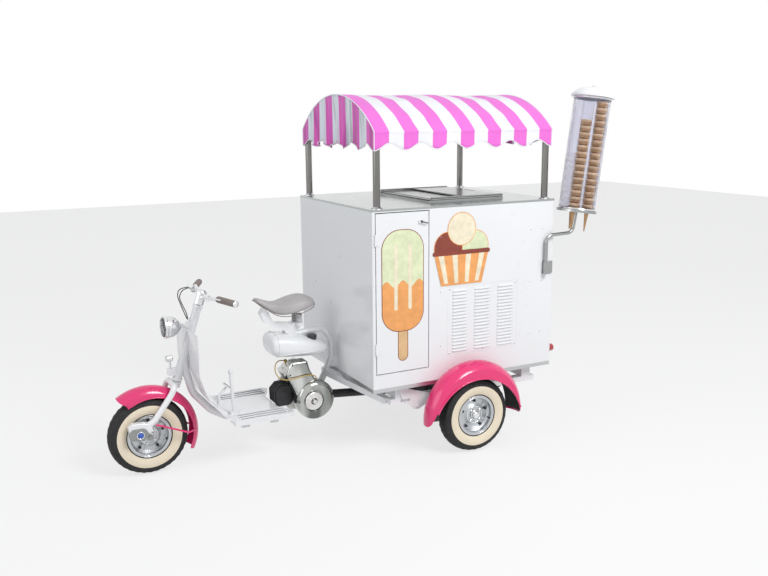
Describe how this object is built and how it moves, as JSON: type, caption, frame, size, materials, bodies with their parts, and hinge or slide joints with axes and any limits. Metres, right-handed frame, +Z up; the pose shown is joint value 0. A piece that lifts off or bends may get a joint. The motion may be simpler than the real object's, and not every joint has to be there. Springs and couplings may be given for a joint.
{
  "type": "ice cream truck",
  "caption": "Three-wheeled motor scooter cart with a white ice cream box, a striped canopy on four posts, sliding lids and a wafer cone dispenser.",
  "frame": {"origin": "on the ground under the middle of the vehicle's overall box", "axes": "+X forward, +Y to the vehicle's left, +Z up"},
  "size_m": [2.8066, 1.262, 1.9836],
  "materials": {
    "box_floor": "satin",
    "box_front": "gloss",
    "box_left": "gloss",
    "box_rear": "gloss",
    "box_right": "gloss",
    "box_top": "satin",
    "brake_pedal": "polished",
    "canopy_cover": "matt",
    "canopy_hoops": "satin",
    "canopy_posts": "polished",
    "canopy_rails": "satin",
    "carburettor": "satin",
    "chassis_arms": "satin",
    "chassis_crossbars": "satin",
    "chassis_rails": "satin",
    "control_cables": "satin",
    "cooling_unit": "satin",
    "dispenser_arm": "polished",
    "dispenser_lid": "polished",
    "dispenser_tube": "gloss",
    "engine_case": "satin",
    "engine_cowl": "polished",
    "engine_loop": "gloss",
    "exhaust": "satin",
    "flywheel": "polished",
    "footboard": "gloss",
    "fork": "gloss",
    "front_links": "polished",
    "front_mudguard": "gloss",
    "front_tyre": "matt",
    "front_wheel": "gloss",
    "frozen_well": "satin",
    "fuel_tank": "gloss",
    "grips": "matt",
    "hand_lever": "polished",
    "handlebar": "polished",
    "headlamp": "polished",
    "headlamp_lens": "gloss",
    "leaf_springs": "matt",
    "leg_shield": "gloss",
    "lid_frame": "satin",
    "louvre_panel": "gloss",
    "lower_lid": "satin",
    "main_frame": "gloss",
    "rear_axle": "matt",
    "rear_left_tyre": "matt",
    "rear_left_wheel": "gloss",
    "rear_mudguards": "gloss",
    "rear_right_tyre": "matt",
    "rear_right_wheel": "gloss",
    "saddle": "satin",
    "seat_bracket": "satin",
    "side_door": "gloss",
    "side_lamp": "polished",
    "spark_lead": "satin",
    "tail_lamps": "gloss",
    "tank_cap": "polished",
    "upper_lid": "satin",
    "wafer_cones": "matt"
  },
  "bodies": {
    "vehicle": {"box_floor": "box_floor", "box_front": "box_front", "box_left": "box_left", "box_rear": "box_rear", "box_right": "box_right", "box_top": "box_top", "brake_pedal": "brake_pedal", "canopy_cover": "canopy_cover", "canopy_hoops": "canopy_hoops", "canopy_posts": "canopy_posts", "canopy_rails": "canopy_rails", "carburettor": "carburettor", "chassis_arms": "chassis_arms", "chassis_crossbars": "chassis_crossbars", "chassis_rails": "chassis_rails", "cooling_unit": "cooling_unit", "dispenser_arm": "dispenser_arm", "dispenser_tube": "dispenser_tube", "engine_case": "engine_case", "engine_cowl": "engine_cowl", "engine_loop": "engine_loop", "exhaust": "exhaust", "flywheel": "flywheel", "footboard": "footboard", "frozen_well": "frozen_well", "fuel_tank": "fuel_tank", "hand_lever": "hand_lever", "headlamp": "headlamp", "headlamp_lens": "headlamp_lens", "leaf_springs": "leaf_springs", "leg_shield": "leg_shield", "lid_frame": "lid_frame", "louvre_panel": "louvre_panel", "main_frame": "main_frame", "rear_axle": "rear_axle", "rear_mudguards": "rear_mudguards", "saddle": "saddle", "seat_bracket": "seat_bracket", "side_lamp": "side_lamp", "spark_lead": "spark_lead", "tail_lamps": "tail_lamps", "tank_cap": "tank_cap", "wafer_cones": "wafer_cones"},
    "steering": {"fork": "fork", "front_links": "front_links", "front_mudguard": "front_mudguard", "handlebar": "handlebar", "grips": "grips", "control_cables": "control_cables"},
    "front_wheel_body": {"front_tyre": "front_tyre", "front_wheel": "front_wheel"},
    "rear_left_wheel_body": {"rear_left_tyre": "rear_left_tyre", "rear_left_wheel": "rear_left_wheel"},
    "rear_right_wheel_body": {"rear_right_tyre": "rear_right_tyre", "rear_right_wheel": "rear_right_wheel"},
    "door": {"side_door": "side_door"},
    "lower_lid_body": {"lower_lid": "lower_lid"},
    "upper_lid_body": {"upper_lid": "upper_lid"},
    "dispenser_lid_body": {"dispenser_lid": "dispenser_lid"}
  },
  "joints": [
    {"name": "steering", "type": "hinge", "parent": "vehicle", "child": "steering", "pos_m": [1.032, 0, 0.477], "axis": [-0.3256, 0, 0.9455], "range_deg": [-40, 40], "deforming": ["control_cables"]},
    {"name": "front_wheel_spin", "type": "hinge", "parent": "steering", "child": "front_wheel_body", "pos_m": [1.198, 0, 0.2075], "axis": [0, 1, 0], "continuous": true},
    {"name": "rear_left_wheel_spin", "type": "hinge", "parent": "vehicle", "child": "rear_left_wheel_body", "pos_m": [-0.466, 0.55, 0.2075], "axis": [0, 1, 0], "continuous": true},
    {"name": "rear_right_wheel_spin", "type": "hinge", "parent": "vehicle", "child": "rear_right_wheel_body", "pos_m": [-0.466, -0.55, 0.2075], "axis": [0, 1, 0], "continuous": true},
    {"name": "side_door_hinge", "type": "hinge", "parent": "vehicle", "child": "door", "pos_m": [0.098, 0.487, 0.92], "axis": [0, 0, -1], "range_deg": [0, 100]},
    {"name": "lower_lid_slide", "type": "slide", "parent": "vehicle", "child": "lower_lid_body", "axis": [-1, 0, 0], "range_m": [0, 0.2]},
    {"name": "upper_lid_slide", "type": "slide", "parent": "vehicle", "child": "upper_lid_body", "axis": [1, 0, 0], "range_m": [0, 0.2]},
    {"name": "dispenser_lid_lift", "type": "slide", "parent": "vehicle", "child": "dispenser_lid_body", "axis": [-0.1392, 0, 0.9903], "range_m": [0, 0.15]}
  ]
}
